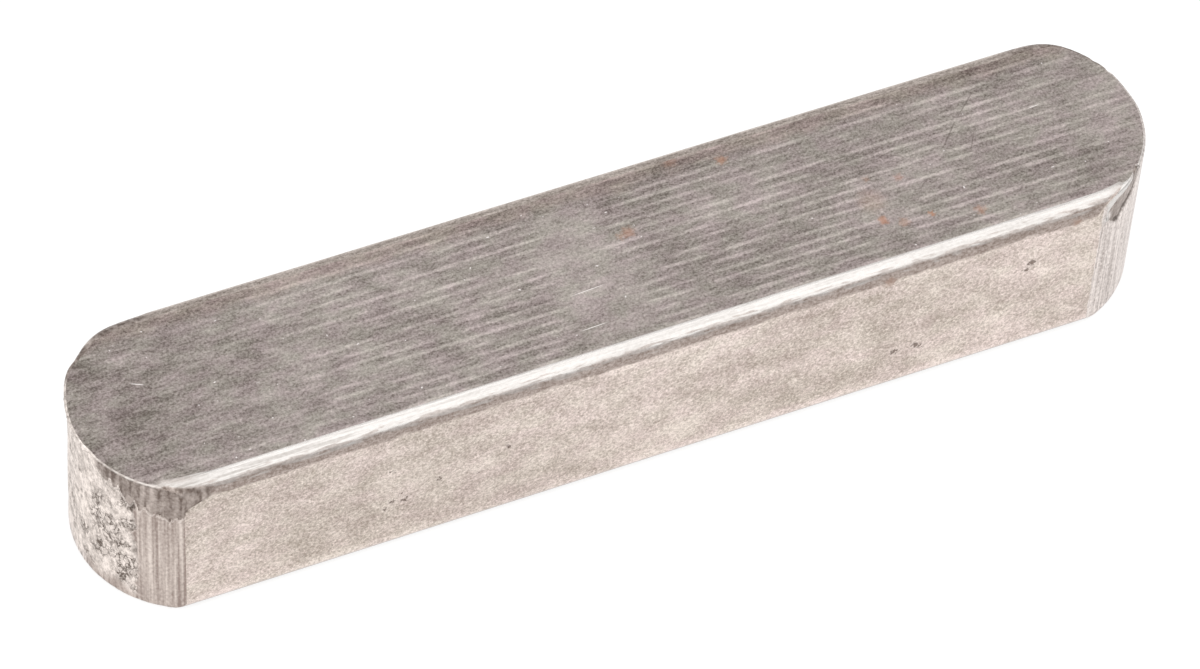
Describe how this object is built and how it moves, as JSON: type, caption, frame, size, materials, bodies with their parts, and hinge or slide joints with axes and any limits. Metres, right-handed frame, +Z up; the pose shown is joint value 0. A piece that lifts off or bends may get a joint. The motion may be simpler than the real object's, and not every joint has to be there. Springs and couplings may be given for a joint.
{
  "type": "parallel key",
  "caption": "Round-ended steel parallel key: a flat-sided bar with rounded long edges and ends punched off in arcs, to drive a hub on a shaft.",
  "frame": {"origin": "centre of the base, midway along the key and across it", "axes": "+X along the key's length, +Y across its width, +Z up through its height"},
  "size_m": [0.05, 0.01, 0.008],
  "materials": {
    "key_steel": "bright-drawn bar gone dull: fine drawing lines along the top, matt sides, polished long edges, sheared ends with score marks and a torn patch, a few faint rust tints"
  },
  "bodies": {
    "root": {"key_body": "key_steel"}
  },
  "joints": []
}
